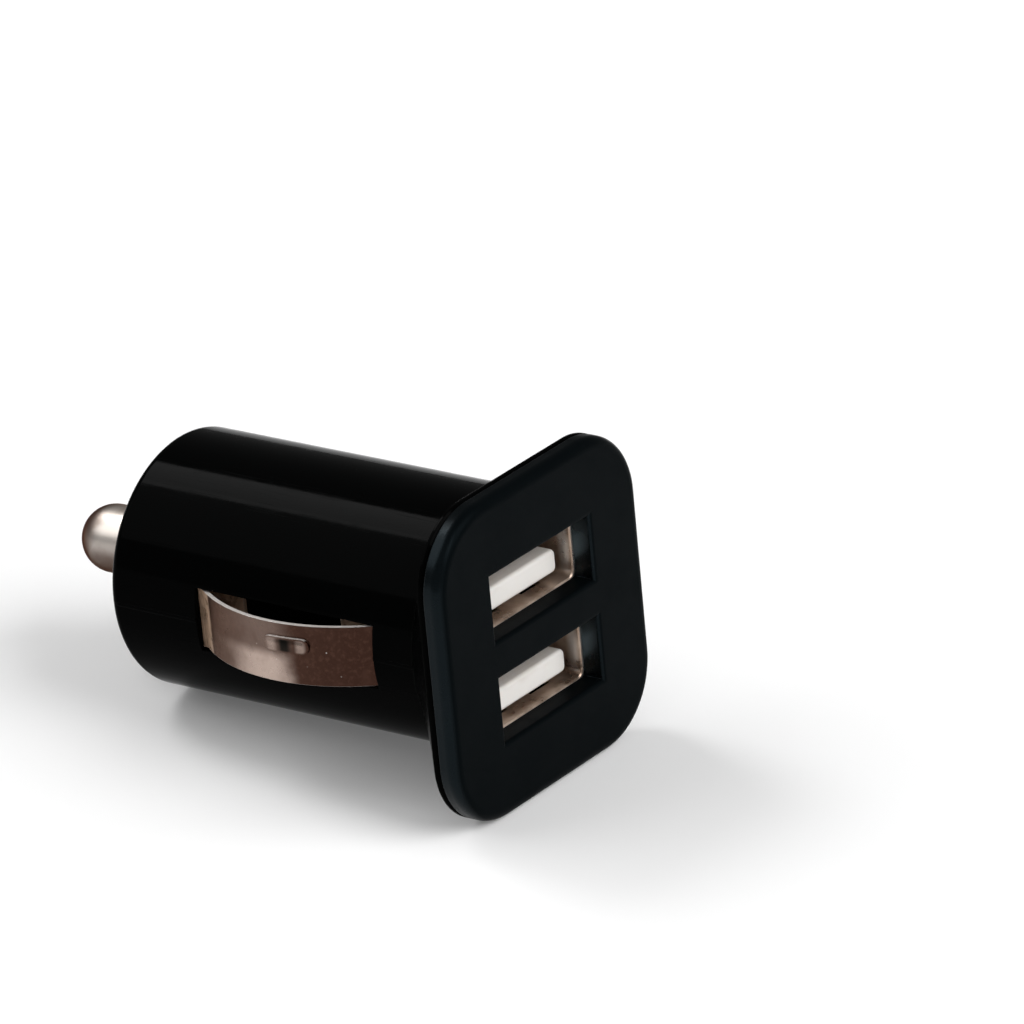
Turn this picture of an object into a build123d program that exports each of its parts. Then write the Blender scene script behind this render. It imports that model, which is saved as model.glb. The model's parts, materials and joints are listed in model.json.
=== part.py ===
from build123d import *
import math
import os

# Car USB charger plug, in millimetres. The plug's axis is Y: the sockets face -Y, the contact tip points
# to +Y and Z is up. The origin is on the axis, in the plane where the face plate meets the body shell.

# Body shell
BARREL_D = 20.8
BODY_LENGTH = 33.5
FLANGE_T = 0.4
NECK_LENGTH = 3.6
NECK_INSET = 0.5
BARREL_WALL = 1.0
FLANGE_RIM = 1.4
TAIL_WALL = 1.6
TAIL_EDGE = 0.8
COLLAR_D = 9.2
COLLAR_HEIGHT = 1.8
COLLAR_EDGE = 0.5
PARTING_HEIGHT = 0.06
PARTING_WIDTH = 0.3

# Face plate
FACE_W = 26.0
FACE_H = 26.2
FACE_CORNER = 6.3
PLATE_DEPTH = 1.75
PLATE_WALL = 1.3
PLATE_RIM = 1.6
FACE_EDGE = 0.9
SEAM_CHAMFER = 0.2
RECESS_DEPTH = 1.9
MOUTH_W = 13.0
MOUTH_H = 5.4
MOUTH_EDGE = 0.35
SLEEVE_WALL = 0.9
SLEEVE_GRIP = 1.5
SNAP_WALL = 1.1
SNAP_W = 8.0
SNAP_GAP = 0.1

# USB sockets
PORT_OPEN_W = 12.5
PORT_OPEN_H = 5.12
PORT_LENGTH = 10.0
PORT_PITCH = 8.5
PORT_GAP = 0.1
SHIELD_T = 0.3
SHIELD_CORNER = 0.9
SHIELD_LEAD_IN = 0.12
FINGER_W = 1.8
FINGER_L = 4.6
FINGER_T = 0.22
FINGER_SLIT = 0.35
FINGER_REACH = 0.4
FINGER_SPACING = 5.6
FINGER_SETBACK = 1.6
TONGUE_W = 11.1
TONGUE_T = 1.95
TONGUE_LIFT = 0.5
TONGUE_SETBACK = 1.0
TONGUE_CORNER = 0.5
TONGUE_NOSE = 0.3
TONGUE_BASE = 2.6
TONGUE_FIT = 0.05
CONTACT_W = 1.0
CONTACT_T = 0.25
CONTACT_SUNK = 0.15
CONTACT_SETBACK = 2.0
CONTACT_INNER_PITCH = 2.0
CONTACT_OUTER_PITCH = 7.0

# Side clips
CLIP_W = 5.0
CLIP_T = 0.35
CLIP_PROUD = 2.1
BOW_R = 14.3
BOW_FORWARD = 0.15
FRONT_TUCK = 0.6
FRONT_FOLD_R = 0.34
FRONT_LEG = 4.75
TAIL_SINK = 0.7
TAIL_BEND_R = 1.0
TAIL_TUCK = 0.5
TAIL_LEG = 3.9
CLIP_SIDE_GAP = 0.17
CLIP_END_GAP = 0.08
WINDOW_L = 17.4
WINDOW_FROM_TAIL = 17.4
DIMPLE_L = 4.1
DIMPLE_W = 1.3
DIMPLE_H = 0.22
DIMPLE_FORWARD = 1.7
DIMPLE_RISE = 0.75
POCKET_FLOOR = 0.9
POCKET_WALL = 0.9

# Contact tip and spring
TIP_D = 5.6
TIP_REACH = 10.4
TIP_SLIDE = 0.05
TIP_FLANGE_D = 8.0
TIP_FLANGE_T = 1.0
TIP_SPIGOT_D = 3.8
TIP_SPIGOT_L = 1.4
SPRING_D = 4.9
SPRING_WIRE = 0.5
SPRING_TURNS = 4
WIRE_SIDES = 6

# Boards and what stands on them
BOARD_T = 1.0
BOARD_GAP = 0.1
MAIN_BOARD_LENGTH = 12.45
PORT_BOARD_MARGIN = 0.25
LEDGE_T = 1.0
LEDGE_GRIP = 1.6
PIN_W = 0.5
PIN_L = 2.6
PIN_PITCH = 2.8
PIN_COUNT = 4
TERMINAL_T = 0.4
TERMINAL_W = 2.0
TERMINAL_FOOT = 3.0
TERMINAL_SEAT_D = 6.2
GROUND_W = 1.6
GROUND_T = 0.3
GROUND_FROM_WALL = 0.35
GROUND_HOLE_GAP = 0.15
INPUT_CAN_D = 5.0
INPUT_CAN_H = 7.0
OUTPUT_CAN_D = 4.0
OUTPUT_CAN_H = 5.4
CAN_EDGE = 0.4
CAN_CRIMP = 0.35
CAN_CRIMP_FROM_BASE = 1.3
COIL_D = 6.0
COIL_H = 4.6
COIL_FLANGE = 0.9
COIL_NECK_D = 3.0
COIL_WINDING_INSET = 0.25
PIECE_GAP = 0.3
CHIP_L = 4.9
CHIP_W = 3.9
CHIP_H = 1.45
CHIP_STANDOFF = 0.1
CHIP_EDGE = 0.25
CHIP_LEG_PITCH = 1.27
CHIP_LEG_W = 0.42
CHIP_LEG_T = 0.2
CHIP_LEG_REACH = 1.05
CHIP_LEG_COUNT = 4
DIODE_L = 4.3
DIODE_W = 2.6
DIODE_H = 2.1
DIODE_EDGE = 0.3
DIODE_TAB_W = 1.4
DIODE_TAB_T = 0.2
DIODE_TAB_REACH = 0.45
RESISTOR_L = 1.6
RESISTOR_W = 0.8
RESISTOR_H = 0.45
RESISTOR_PITCH = 1.5
RESISTOR_COUNT = 4

# Planes and levels that follow from the sizes
BARREL_R = BARREL_D / 2
BORE_R = BARREL_R - BARREL_WALL
FUNNEL_END = NECK_LENGTH - NECK_INSET
FACE_Y = -PLATE_DEPTH
SHIELD_FRONT = FACE_Y + RECESS_DEPTH
SHIELD_BACK = SHIELD_FRONT + PORT_LENGTH
SHIELD_W = PORT_OPEN_W + 2 * SHIELD_T
SHIELD_H = PORT_OPEN_H + 2 * SHIELD_T
PORT_BOARD_W = SHIELD_W + 2 * PORT_BOARD_MARGIN
PORT_BOARD_BACK = SHIELD_BACK + BOARD_T
MAIN_BOARD_BACK = PORT_BOARD_BACK + MAIN_BOARD_LENGTH
TAIL_INNER = BODY_LENGTH - TAIL_WALL
TIP_R = TIP_D / 2
TIP_END = BODY_LENGTH + TIP_REACH
TIP_FLANGE_IN = TAIL_INNER - TIP_FLANGE_T
SPRING_SEAT = MAIN_BOARD_BACK + TERMINAL_T
WINDOW_Y = BODY_LENGTH - WINDOW_FROM_TAIL
POCKET_HALF = CLIP_W / 2 + CLIP_SIDE_GAP
BOARD_TOP = -(POCKET_HALF + POCKET_WALL + BOARD_GAP)
BOARD_BOTTOM = BOARD_TOP - BOARD_T
BOARD_HALF = math.sqrt(BORE_R**2 - BOARD_BOTTOM**2) - BOARD_GAP
PORT_LEVELS = {"upper": PORT_PITCH / 2, "lower": -PORT_PITCH / 2}
SIDES = {"left": -1, "right": 1}
ALONG_AXIS = Plane(origin=(0, 0, 0), x_dir=(1, 0, 0), z_dir=(0, 1, 0))
SIDEWAYS = Plane(origin=(0, 0, 0), x_dir=(0, 1, 0), z_dir=(1, 0, 0))
HALF_TURN = 180

# A clip is a bow that passes under both ends of its window, then folds back into legs on the pocket's floor.
# Its front end folds straight from the bow, and its tail end is first bent level with the barrel.
# A clip's sizes across the plug are radii, and those along the plug are counted from the bow's crest.
WINDOW_HALF = WINDOW_L / 2
BOW_Y = WINDOW_Y - BOW_FORWARD
CLIP_CREST = BARREL_R + CLIP_PROUD
BOW_CENTRE = CLIP_CREST - BOW_R
BOW_MID_R = BOW_R - CLIP_T / 2
FRONT_END = WINDOW_HALF - BOW_FORWARD + FRONT_TUCK
FRONT_ANGLE = math.asin(FRONT_END / BOW_MID_R)
FRONT_LEVEL = BOW_CENTRE + BOW_MID_R * math.cos(FRONT_ANGLE)
FRONT_LEG_START = FRONT_END - FRONT_FOLD_R * math.sin(FRONT_ANGLE)
LEG_LEVEL = FRONT_LEVEL - FRONT_FOLD_R * (1 + math.cos(FRONT_ANGLE))
TAIL_LEVEL = BARREL_R - TAIL_SINK - CLIP_T / 2
TAIL_ANGLE = math.acos((TAIL_LEVEL - BOW_CENTRE + TAIL_BEND_R) / (BOW_MID_R + TAIL_BEND_R))
TAIL_LEG_START = (BOW_MID_R + TAIL_BEND_R) * math.sin(TAIL_ANGLE) + TAIL_TUCK
TAIL_FOLD_R = (TAIL_LEVEL - LEG_LEVEL) / 2
FLOOR = LEG_LEVEL - CLIP_T / 2
FLOOR_IN = FLOOR - POCKET_FLOOR
FRONT_HOOK = BOW_Y - FRONT_LEG_START - FRONT_FOLD_R - CLIP_T / 2 - CLIP_END_GAP
TAIL_HOOK = BOW_Y + TAIL_LEG_START + TAIL_FOLD_R + CLIP_T / 2 + CLIP_END_GAP
POCKET_FRONT = FRONT_HOOK - POCKET_WALL
POCKET_BACK = TAIL_HOOK + POCKET_WALL
SNAP_END = POCKET_FRONT - SNAP_GAP
GROUND_Y = min(BOW_Y + TAIL_LEG_START - TAIL_LEG / 2, MAIN_BOARD_BACK - GROUND_W)


def facing_front(y):
    return Plane(origin=(0, y, 0), x_dir=(1, 0, 0), z_dir=(0, -1, 0))


def prism(profile, y0, y1):
    # A profile drawn in X and Z, drawn out along the axis from y0 to y1.
    return extrude(facing_front(y1) * profile, amount=y1 - y0)


def block(x0, x1, y0, y1, z0, z1):
    middle = Pos((x0 + x1) / 2, (y0 + y1) / 2, (z0 + z1) / 2)
    return middle * Box(abs(x1 - x0), abs(y1 - y0), abs(z1 - z0))


def shield_envelope(level, gap, y0, y1):
    profile = RectangleRounded(SHIELD_W + 2 * gap, SHIELD_H + 2 * gap, SHIELD_CORNER + gap)
    return prism(Pos(0, level) * profile, y0, y1)


def make_funnel(gap):
    # The cone that opens the bore out into the flange, smaller all round by the gap.
    mouth_r = min(FACE_W, FACE_H) / 2 - FLANGE_RIM - gap
    return ALONG_AXIS * Cone(mouth_r, BORE_R - gap, FUNNEL_END, align=(Align.CENTER, Align.CENTER, Align.MIN))


def make_face_plate():
    plate = prism(RectangleRounded(FACE_W, FACE_H, FACE_CORNER), FACE_Y, 0)
    plate = fillet(plate.faces().sort_by(Axis.Y)[0].edges(), FACE_EDGE)
    plate = chamfer(plate.faces().sort_by(Axis.Y)[-1].edges(), SEAM_CHAMFER)
    hollow = RectangleRounded(FACE_W - 2 * PLATE_RIM, FACE_H - 2 * PLATE_RIM, FACE_CORNER - PLATE_RIM)
    hollow_floor = FACE_Y + PLATE_WALL
    plate -= prism(hollow, hollow_floor, 0)
    sleeve_w = SHIELD_W + 2 * (PORT_GAP + SLEEVE_WALL)
    sleeve_h = SHIELD_H + PORT_PITCH + 2 * (PORT_GAP + SLEEVE_WALL)
    sleeve = RectangleRounded(sleeve_w, sleeve_h, SHIELD_CORNER + PORT_GAP + SLEEVE_WALL)
    plate += prism(sleeve, hollow_floor, 0)
    plate += prism(sleeve, 0, SHIELD_FRONT + SLEEVE_GRIP) & make_funnel(SNAP_GAP)
    snap_r = BORE_R - SNAP_GAP
    ring = prism(Circle(snap_r) - Circle(snap_r - SNAP_WALL), hollow_floor, SNAP_END)
    snap_zone = block(-snap_r, snap_r, hollow_floor, SNAP_END, -SNAP_W / 2, SNAP_W / 2)
    plate += ring & snap_zone
    for level in PORT_LEVELS.values():
        plate -= prism(Pos(0, level) * Rectangle(MOUTH_W, MOUTH_H), FACE_Y, SHIELD_FRONT)
        plate -= shield_envelope(level, PORT_GAP, SHIELD_FRONT, SHIELD_BACK)
    mouths = plate.faces().sort_by(Axis.Y)[0].inner_wires()
    return fillet([edge for wire in mouths for edge in wire.edges()], MOUTH_EDGE)


def make_outer_body():
    flange = prism(RectangleRounded(FACE_W, FACE_H, FACE_CORNER), 0, FLANGE_T)
    flange = chamfer(flange.faces().sort_by(Axis.Y)[0].edges(), SEAM_CHAMFER)
    neck = loft(
        [
            facing_front(FLANGE_T) * RectangleRounded(FACE_W, FACE_H, FACE_CORNER),
            facing_front(NECK_LENGTH) * Circle(BARREL_R),
        ],
        ruled=True,
    )
    barrel = prism(Circle(BARREL_R), NECK_LENGTH, BODY_LENGTH)
    barrel = fillet(barrel.faces().sort_by(Axis.Y)[-1].edges(), TAIL_EDGE)
    collar = prism(Circle(COLLAR_D / 2), BODY_LENGTH, BODY_LENGTH + COLLAR_HEIGHT)
    collar = chamfer(collar.faces().sort_by(Axis.Y)[-1].edges(), COLLAR_EDGE)
    return flange + neck + barrel + collar


def make_parting_ridge():
    # The fine ridge that the mould's two halves leave along each side.
    half = [
        (BARREL_R - BARREL_WALL / 2, FLANGE_T),
        (FACE_W / 2, FLANGE_T),
        (BARREL_R + PARTING_HEIGHT, NECK_LENGTH),
        (BARREL_R + PARTING_HEIGHT, BODY_LENGTH - TAIL_EDGE),
        (BARREL_R - BARREL_WALL / 2, BODY_LENGTH - TAIL_EDGE),
    ]
    right = extrude(make_face(Polyline(*half, close=True)), amount=PARTING_WIDTH / 2, both=True)
    return right + mirror(right, Plane.YZ)


def make_cavity():
    return make_funnel(0) + prism(Circle(BORE_R), FUNNEL_END, TAIL_INNER)


def bow_disc(radius):
    # A disc about the bow's centre, as thick as the plug is wide.
    return Pos(BOW_CENTRE, BOW_Y, 0) * Cylinder(radius, BARREL_D)


def make_pocket():
    # The boxed pocket inside the barrel's right wall that a side clip snaps into, and what is cut out of it.
    side = POCKET_HALF
    side_out = side + POCKET_WALL
    housing = block(FLOOR_IN, BARREL_R, POCKET_FRONT, POCKET_BACK, -side_out, side_out)
    housing &= prism(Circle(BARREL_R - BARREL_WALL / 2), POCKET_FRONT, POCKET_BACK)
    cut = block(FLOOR, CLIP_CREST, WINDOW_Y - WINDOW_HALF, WINDOW_Y + WINDOW_HALF, -side, side)
    cut += block(FLOOR, BARREL_R, FRONT_HOOK, BOW_Y, -side, side) & bow_disc(BOW_R + CLIP_END_GAP)
    cut += block(FLOOR, BARREL_R - TAIL_SINK + CLIP_END_GAP, BOW_Y, TAIL_HOOK, -side, side)
    hole_half = GROUND_W / 2 + GROUND_HOLE_GAP
    hole_z = GROUND_T / 2 + GROUND_HOLE_GAP
    cut += block(FLOOR_IN, FLOOR, GROUND_Y - hole_half, GROUND_Y + hole_half, -hole_z, hole_z)
    return housing, cut


def make_body_shell():
    shell = make_outer_body() + make_parting_ridge() - make_cavity()
    housing, cut = make_pocket()
    ledge_in = BOARD_HALF - LEDGE_GRIP
    ledge_low = BOARD_BOTTOM - LEDGE_T
    ledge = block(ledge_in, BARREL_R, PORT_BOARD_BACK, MAIN_BOARD_BACK, ledge_low, BOARD_BOTTOM)
    ledge &= prism(Circle(BARREL_R - BARREL_WALL / 2), PORT_BOARD_BACK, MAIN_BOARD_BACK)
    shell += housing + mirror(housing, Plane.YZ)
    shell += ledge + mirror(ledge, Plane.YZ)
    shell -= cut + mirror(cut, Plane.YZ)
    for level in PORT_LEVELS.values():
        shell -= shield_envelope(level, PORT_GAP, SHIELD_FRONT, SHIELD_BACK)
    tip_hole = prism(Circle(TIP_R + TIP_SLIDE), TAIL_INNER, BODY_LENGTH + COLLAR_HEIGHT)
    return shell - tip_hole


def make_clip(side):
    front_turn = math.degrees(FRONT_ANGLE)
    tail_turn = math.degrees(TAIL_ANGLE)
    leg_end = (LEG_LEVEL, BOW_Y - FRONT_LEG_START + FRONT_LEG)
    path = [Line(leg_end, (LEG_LEVEL, BOW_Y - FRONT_LEG_START))]
    path.append(JernArc(path[-1] @ 1, path[-1] % 1, FRONT_FOLD_R, HALF_TURN - front_turn))
    path.append(JernArc(path[-1] @ 1, path[-1] % 1, BOW_MID_R, front_turn + tail_turn))
    path.append(JernArc(path[-1] @ 1, path[-1] % 1, TAIL_BEND_R, -tail_turn))
    path.append(Line(path[-1] @ 1, path[-1] @ 1 + (path[-1] % 1) * TAIL_TUCK))
    path.append(JernArc(path[-1] @ 1, path[-1] % 1, TAIL_FOLD_R, HALF_TURN))
    path.append(Line(path[-1] @ 1, path[-1] @ 1 + (path[-1] % 1) * TAIL_LEG))
    strip = Wire([piece.edge() for piece in path])
    start = Plane(origin=strip @ 0, x_dir=(0, 0, 1), z_dir=strip % 0)
    clip = sweep(start * Rectangle(CLIP_W, CLIP_T), path=strip)
    # The pressed dimple is nearer the face than the bow's crest, and off the strip's middle line.
    middle = (BARREL_R, BOW_Y - DIMPLE_FORWARD, -DIMPLE_RISE)
    outwards = Plane(origin=middle, x_dir=(0, 1, 0), z_dir=(1, 0, 0))
    reach = CLIP_PROUD + DIMPLE_H
    raised = extrude(outwards * SlotOverall(DIMPLE_L, DIMPLE_W), amount=reach) & bow_disc(BOW_R + DIMPLE_H)
    pressed = SlotOverall(DIMPLE_L - 2 * CLIP_T, DIMPLE_W - 2 * CLIP_T)
    hollow = extrude(outwards * pressed, amount=reach) & bow_disc(BOW_R - CLIP_T + DIMPLE_H)
    clip = clip + (raised - bow_disc(BOW_MID_R)) - hollow
    return clip if side > 0 else Rot(0, HALF_TURN, 0) * clip


def make_contact_tip():
    # A turned pin: spigot inside the spring, flange behind the tail wall, shank and round nose.
    spigot = TIP_SPIGOT_D / 2
    flange = TIP_FLANGE_D / 2
    spigot_in = TIP_FLANGE_IN - TIP_SPIGOT_L
    nose_start = (TIP_R, TIP_END - TIP_R)
    outline = Polyline(
        (0, TIP_END),
        (0, spigot_in),
        (spigot, spigot_in),
        (spigot, TIP_FLANGE_IN),
        (flange, TIP_FLANGE_IN),
        (flange, TAIL_INNER),
        (TIP_R, TAIL_INNER),
        nose_start,
    )
    outline += RadiusArc(nose_start, (0, TIP_END), -TIP_R)
    return revolve(make_face(outline), axis=Axis.Y)


def make_tip_spring():
    # The wire has a six-sided section.
    height = TIP_FLANGE_IN - SPRING_SEAT - SPRING_WIRE
    start_y = SPRING_SEAT + SPRING_WIRE / 2
    coil = Helix(height / SPRING_TURNS, height, SPRING_D / 2, center=(0, start_y, 0), direction=(0, 1, 0))
    section = Plane(origin=coil @ 0, z_dir=coil % 0) * RegularPolygon(SPRING_WIRE / 2, WIRE_SIDES)
    return sweep(section, path=coil, is_frenet=True)


def contact_places():
    half_pitches = (CONTACT_OUTER_PITCH / 2, CONTACT_INNER_PITCH / 2)
    return [sign * half for half in half_pitches for sign in (-1, 1)]


def make_shield(level):
    outer = shield_envelope(0, 0, SHIELD_FRONT, SHIELD_BACK)
    inner = shield_envelope(0, -SHIELD_T, SHIELD_FRONT, SHIELD_BACK)
    shell = outer - inner
    mouth = shell.faces().sort_by(Axis.Y)[0].inner_wires()[0]
    shell = chamfer(mouth.edges(), SHIELD_LEAD_IN)
    slit_near = SHIELD_FRONT + FINGER_SETBACK
    slit_far = slit_near + FINGER_L
    finger_bottom = -SHIELD_H / 2
    finger_profile = [
        (slit_far, finger_bottom),
        (slit_near + FINGER_SLIT, finger_bottom + FINGER_REACH),
        (slit_near + FINGER_SLIT, finger_bottom + FINGER_REACH + FINGER_T),
        (slit_far, finger_bottom + SHIELD_T),
    ]
    finger_side = SIDEWAYS * make_face(Polyline(*finger_profile, close=True))
    finger = extrude(finger_side, amount=FINGER_W / 2, both=True)
    slit_half = FINGER_W / 2 + FINGER_SLIT
    for x in (-FINGER_SPACING / 2, FINGER_SPACING / 2):
        for turn in (0, HALF_TURN):
            slit = block(x - slit_half, x + slit_half, slit_near, slit_far, -SHIELD_H / 2, -PORT_OPEN_H / 2)
            shell -= Rot(0, turn, 0) * slit
            shell += Rot(0, turn, 0) * Pos(x, 0, 0) * finger
    return Pos(0, 0, level) * shell


def make_tongue(level):
    base_front = SHIELD_BACK - TONGUE_BASE
    fit = -SHIELD_T - TONGUE_FIT
    tongue = shield_envelope(0, fit, base_front, SHIELD_BACK)
    front = SHIELD_FRONT + TONGUE_SETBACK
    middle = -PORT_OPEN_H / 2 + TONGUE_LIFT + TONGUE_T / 2
    blade = prism(Pos(0, middle) * RectangleRounded(TONGUE_W, TONGUE_T, TONGUE_CORNER), front, base_front)
    tongue += fillet(blade.faces().sort_by(Axis.Y)[0].edges(), TONGUE_NOSE)
    for x in contact_places():
        tongue -= contact_strip(x)
    return Pos(0, 0, level) * tongue


def contact_strip(x):
    top = -PORT_OPEN_H / 2 + TONGUE_LIFT + TONGUE_T
    low = top - CONTACT_SUNK
    start = SHIELD_FRONT + TONGUE_SETBACK + CONTACT_SETBACK
    return block(x - CONTACT_W / 2, x + CONTACT_W / 2, start, PORT_BOARD_BACK, low, low + CONTACT_T)


def make_contacts(level):
    return Compound([Pos(0, 0, level) * contact_strip(x) for x in contact_places()])


def pin_places():
    first = -PIN_PITCH * (PIN_COUNT - 1) / 2
    return [first + PIN_PITCH * index for index in range(PIN_COUNT)]


def board_pin(x):
    half = PIN_W / 2
    return block(x - half, x + half, SHIELD_BACK, SHIELD_BACK + PIN_L, BOARD_TOP, BOARD_TOP + PIN_W)


def make_port_board():
    reach = BORE_R - BOARD_GAP
    outline = Circle(reach) & Rectangle(PORT_BOARD_W, 2 * reach)
    board = prism(outline, SHIELD_BACK, PORT_BOARD_BACK)
    for level in PORT_LEVELS.values():
        for x in contact_places():
            board -= Pos(0, 0, level) * contact_strip(x)
    for x in pin_places():
        board -= board_pin(x)
    return board


def make_board_pins():
    return Compound([board_pin(x) for x in pin_places()])


def make_main_board():
    return block(-BOARD_HALF, BOARD_HALF, PORT_BOARD_BACK, MAIN_BOARD_BACK, BOARD_BOTTOM, BOARD_TOP)


def make_tip_terminal():
    upright = Circle(TERMINAL_SEAT_D / 2)
    upright += Pos(0, BOARD_BOTTOM / 2) * Rectangle(TERMINAL_W, -BOARD_BOTTOM)
    terminal = prism(upright, MAIN_BOARD_BACK, SPRING_SEAT)
    half = TERMINAL_W / 2
    foot_near = MAIN_BOARD_BACK - TERMINAL_FOOT
    return terminal + block(-half, half, foot_near, MAIN_BOARD_BACK, BOARD_TOP, BOARD_TOP + TERMINAL_T)


def make_ground_finger(side):
    upright_out = FLOOR_IN - GROUND_FROM_WALL
    upright_in = upright_out - GROUND_T
    foot_in = TERMINAL_W / 2 + PIECE_GAP + OUTPUT_CAN_D + PIECE_GAP
    half_t = GROUND_T / 2
    outline = [
        (foot_in, BOARD_TOP),
        (upright_out, BOARD_TOP),
        (upright_out, -half_t),
        (FLOOR, -half_t),
        (FLOOR, half_t),
        (upright_in, half_t),
        (upright_in, BOARD_TOP + GROUND_T),
        (foot_in, BOARD_TOP + GROUND_T),
    ]
    half_w = GROUND_W / 2
    finger = prism(make_face(Polyline(*outline, close=True)), GROUND_Y - half_w, GROUND_Y + half_w)
    return finger if side > 0 else mirror(finger, Plane.YZ)


def make_can(diameter, height):
    # An aluminium can with the rolled crimp above its base, standing on Z = 0.
    radius = diameter / 2
    crimp_middle = CAN_CRIMP_FROM_BASE + CAN_CRIMP
    outline = Polyline(
        (0, 0),
        (radius, 0),
        (radius, CAN_CRIMP_FROM_BASE),
        (radius - CAN_CRIMP, crimp_middle),
        (radius, crimp_middle + CAN_CRIMP),
        (radius, height - CAN_EDGE),
        (radius - CAN_EDGE, height),
        (0, height),
        close=True,
    )
    return revolve(Plane.XZ * make_face(outline), axis=Axis.Z)


def front_row(diameter):
    return SHIELD_BACK + PIN_L + PIECE_GAP + diameter / 2


def make_input_capacitor():
    place = Pos(-INPUT_CAN_D / 2 - PIECE_GAP, front_row(INPUT_CAN_D), BOARD_TOP)
    return place * make_can(INPUT_CAN_D, INPUT_CAN_H)


def make_output_capacitor():
    behind = front_row(INPUT_CAN_D) + INPUT_CAN_D / 2 + PIECE_GAP + OUTPUT_CAN_D / 2
    place = Pos(-TERMINAL_W / 2 - PIECE_GAP - OUTPUT_CAN_D / 2, behind, BOARD_TOP)
    return place * make_can(OUTPUT_CAN_D, OUTPUT_CAN_H)


def coil_place():
    return Pos(COIL_D / 2 + PIECE_GAP, front_row(COIL_D), BOARD_TOP)


def make_inductor_core():
    radius = COIL_D / 2
    neck = COIL_NECK_D / 2
    outline = Polyline(
        (0, 0),
        (radius, 0),
        (radius, COIL_FLANGE),
        (neck, COIL_FLANGE),
        (neck, COIL_H - COIL_FLANGE),
        (radius, COIL_H - COIL_FLANGE),
        (radius, COIL_H),
        (0, COIL_H),
        close=True,
    )
    return coil_place() * revolve(Plane.XZ * make_face(outline), axis=Axis.Z)


def make_inductor_winding():
    outer = COIL_D / 2 - COIL_WINDING_INSET
    ring = Circle(outer) - Circle(COIL_NECK_D / 2)
    return coil_place() * Pos(0, 0, COIL_FLANGE) * extrude(ring, amount=COIL_H - 2 * COIL_FLANGE)


def chip_place():
    return Pos(0, front_row(CHIP_W + 2 * CHIP_LEG_REACH), BOARD_BOTTOM)


def make_converter_chip():
    body = block(-CHIP_L / 2, CHIP_L / 2, -CHIP_W / 2, CHIP_W / 2, -CHIP_H, -CHIP_STANDOFF)
    body = chamfer(body.faces().sort_by(Axis.Z)[0].edges(), CHIP_EDGE)
    return chip_place() * body


def make_chip_legs():
    middle = -(CHIP_H + CHIP_STANDOFF) / 2
    out = CHIP_W / 2 + CHIP_LEG_REACH
    knee = CHIP_W / 2 + CHIP_LEG_REACH / 2
    outline = Polyline(
        (CHIP_W / 2, middle),
        (knee, middle),
        (knee, -CHIP_LEG_T),
        (out, -CHIP_LEG_T),
        (out, 0),
        (knee - CHIP_LEG_T, 0),
        (knee - CHIP_LEG_T, middle + CHIP_LEG_T),
        (CHIP_W / 2, middle + CHIP_LEG_T),
        close=True,
    )
    leg = extrude(SIDEWAYS * make_face(outline), amount=CHIP_LEG_W / 2, both=True)
    first = -CHIP_LEG_PITCH * (CHIP_LEG_COUNT - 1) / 2
    row = [Pos(first + CHIP_LEG_PITCH * index, 0, 0) * leg for index in range(CHIP_LEG_COUNT)]
    return Compound([chip_place() * piece for piece in row + [mirror(leg, Plane.XZ) for leg in row]])


def diode_place():
    behind_chip = front_row(CHIP_W + 2 * CHIP_LEG_REACH) + CHIP_W / 2 + CHIP_LEG_REACH
    return Pos(0, behind_chip + PIECE_GAP + DIODE_W / 2, BOARD_BOTTOM)


def make_rectifier_diode():
    body = block(-DIODE_L / 2, DIODE_L / 2, -DIODE_W / 2, DIODE_W / 2, -DIODE_H, -DIODE_TAB_T)
    body = chamfer(body.faces().sort_by(Axis.Z)[0].edges(), DIODE_EDGE)
    return diode_place() * body


def make_diode_tabs():
    inner = DIODE_L / 2 - DIODE_TAB_REACH
    outer = DIODE_L / 2 + DIODE_TAB_REACH
    half = DIODE_TAB_W / 2
    tab = block(inner, outer, -half, half, -DIODE_TAB_T, 0)
    return Compound([diode_place() * tab, diode_place() * mirror(tab, Plane.YZ)])


def make_chip_resistors():
    first_y = front_row(RESISTOR_W)
    x = CHIP_L / 2 + PIECE_GAP + RESISTOR_L / 2
    pieces = []
    for index in range(RESISTOR_COUNT):
        middle = Pos(x, first_y + RESISTOR_PITCH * index, BOARD_BOTTOM - RESISTOR_H / 2)
        body = middle * Box(RESISTOR_L, RESISTOR_W, RESISTOR_H)
        pieces += [body, mirror(body, Plane.YZ)]
    return Compound(pieces)


NODES = {
    "body_shell": make_body_shell(),
    "face_plate": make_face_plate(),
    "contact_tip": make_contact_tip(),
    "tip_spring": make_tip_spring(),
    "tip_terminal": make_tip_terminal(),
    "port_board": make_port_board(),
    "main_board": make_main_board(),
    "board_pins": make_board_pins(),
    "input_capacitor": make_input_capacitor(),
    "output_capacitor": make_output_capacitor(),
    "inductor_core": make_inductor_core(),
    "inductor_winding": make_inductor_winding(),
    "converter_chip": make_converter_chip(),
    "chip_legs": make_chip_legs(),
    "rectifier_diode": make_rectifier_diode(),
    "diode_tabs": make_diode_tabs(),
    "chip_resistors": make_chip_resistors(),
}
for name, side in SIDES.items():
    NODES[f"{name}_clip"] = make_clip(side)
    NODES[f"{name}_ground_finger"] = make_ground_finger(side)
for name, level in PORT_LEVELS.items():
    NODES[f"{name}_shield"] = make_shield(level)
    NODES[f"{name}_tongue"] = make_tongue(level)
    NODES[f"{name}_contacts"] = make_contacts(level)

os.makedirs("parts", exist_ok=True)
for name, solid in NODES.items():
    export_step(solid, f"parts/{name}.step")
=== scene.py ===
"""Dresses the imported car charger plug.

The moulded, plated and soldered pieces get their finishes, the spring and the coil are wound from round wire,
and a small studio is set up round the plug.
"""

import json
import math

import bmesh
import bpy
from bpy.props import FloatProperty, FloatVectorProperty, IntProperty, PointerProperty
from mathutils import Matrix, Vector

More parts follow.
